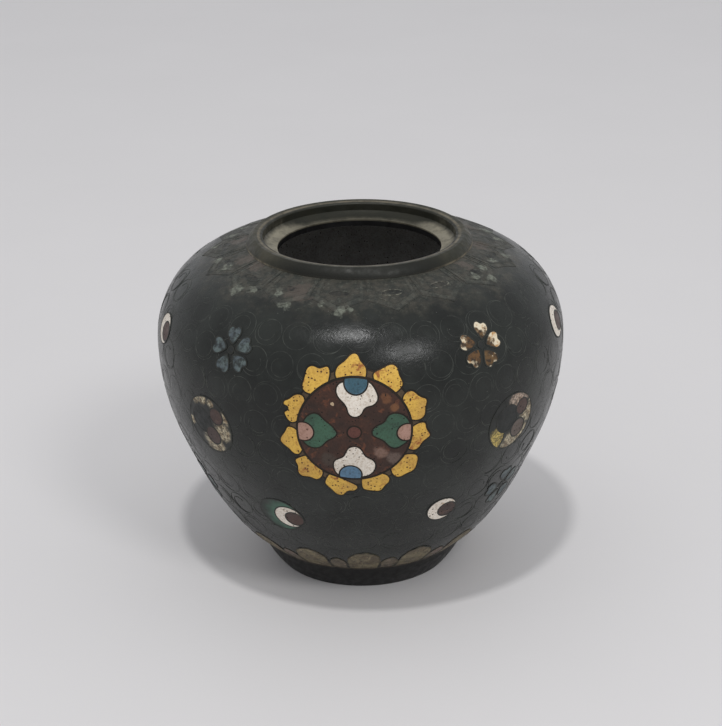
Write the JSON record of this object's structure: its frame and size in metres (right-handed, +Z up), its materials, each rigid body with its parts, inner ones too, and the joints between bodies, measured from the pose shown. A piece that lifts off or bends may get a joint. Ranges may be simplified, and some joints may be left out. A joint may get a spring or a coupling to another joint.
{
  "type": "cloisonne vase",
  "caption": "Low globular enamelled vase on a conical foot ring, with a round collared mouth, flower medallions and lappet borders.",
  "frame": {"origin": "centre of the foot ring's resting face", "axes": "+Z up along the vase's axis, front medallion towards -Y, +X to the viewer's right"},
  "size_m": [0.0902, 0.0904, 0.0771],
  "materials": {
    "copper": "dull, dark toned copper",
    "foot_bronze": "near-black patinated bronze",
    "rim_bronze": "brown patinated bronze, worn edges",
    "wire": "tarnished copper wire",
    "counter_enamel": "plain grey vitreous enamel, shadowed inside",
    "ground_enamel": "weathered black-green vitreous enamel",
    "shoulder_enamel": "worn olive-brown vitreous enamel",
    "pale_border_enamel": "worn pale grey-green vitreous enamel",
    "dark_enamel": "dark grey vitreous enamel",
    "olive_enamel": "worn olive-brown vitreous enamel",
    "tan_enamel": "worn tan vitreous enamel",
    "brown_enamel": "reddish brown vitreous enamel",
    "red_brown_enamel": "red-brown vitreous enamel",
    "grey_brown_enamel": "grey-brown vitreous enamel",
    "white_enamel": "off-white pitted vitreous enamel",
    "ivory_enamel": "ivory pitted vitreous enamel",
    "green_enamel": "deep green vitreous enamel",
    "teal_enamel": "teal vitreous enamel",
    "blue_enamel": "steel blue vitreous enamel",
    "pale_blue_enamel": "pale grey-blue vitreous enamel",
    "pink_enamel": "pink-tan vitreous enamel",
    "yellow_enamel": "ochre yellow pitted vitreous enamel",
    "buff_enamel": "buff vitreous enamel",
    "corroded_enamel": "brown corroded vitreous enamel"
  },
  "bodies": {
    "root": {"copper_body": "copper", "base_plate": "copper", "foot_ring": "foot_bronze", "rim_collar": "rim_bronze", "interior_counter_enamel": "counter_enamel", "base_counter_enamel": "counter_enamel", "ground_enamel": "ground_enamel", "shoulder_lappet_fields": "shoulder_enamel", "shoulder_lappet_borders": "pale_border_enamel", "shoulder_lappet_ovals": "dark_enamel", "shoulder_lappet_wires": "wire", "foot_tall_lappets": "olive_enamel", "foot_low_lappets": "tan_enamel", "foot_lappet_wires": "wire", "medallion_field_enamel": "brown_enamel", "medallion_centre_discs": "red_brown_enamel", "medallion_white_trefoils": "white_enamel", "medallion_green_trefoils": "green_enamel", "medallion_blue_half_discs": "blue_enamel", "medallion_pink_half_discs": "pink_enamel", "medallion_trefoil_wires": "wire", "medallion_ring_wires": "wire", "medallion_petals": "yellow_enamel", "medallion_filler_enamel": "buff_enamel", "medallion_petal_wires": "wire", "blossom_hearts": "dark_enamel", "pale_blossom_petals": "pale_blue_enamel", "ivory_blossom_petals": "ivory_enamel", "brown_blossom_petals": "corroded_enamel", "blossom_wires": "wire", "roundel_brown_discs": "brown_enamel", "roundel_dark_discs": "dark_enamel", "roundel_grey_discs": "grey_brown_enamel", "roundel_ivory_enamel": "ivory_enamel", "roundel_yellow_enamel": "yellow_enamel", "roundel_tan_enamel": "tan_enamel", "roundel_wires": "wire", "roundel_ring_wires": "wire", "crescent_brown_discs": "brown_enamel", "crescent_white_enamel": "white_enamel", "crescent_teal_disc": "teal_enamel", "crescent_wires": "wire"}
  },
  "joints": []
}
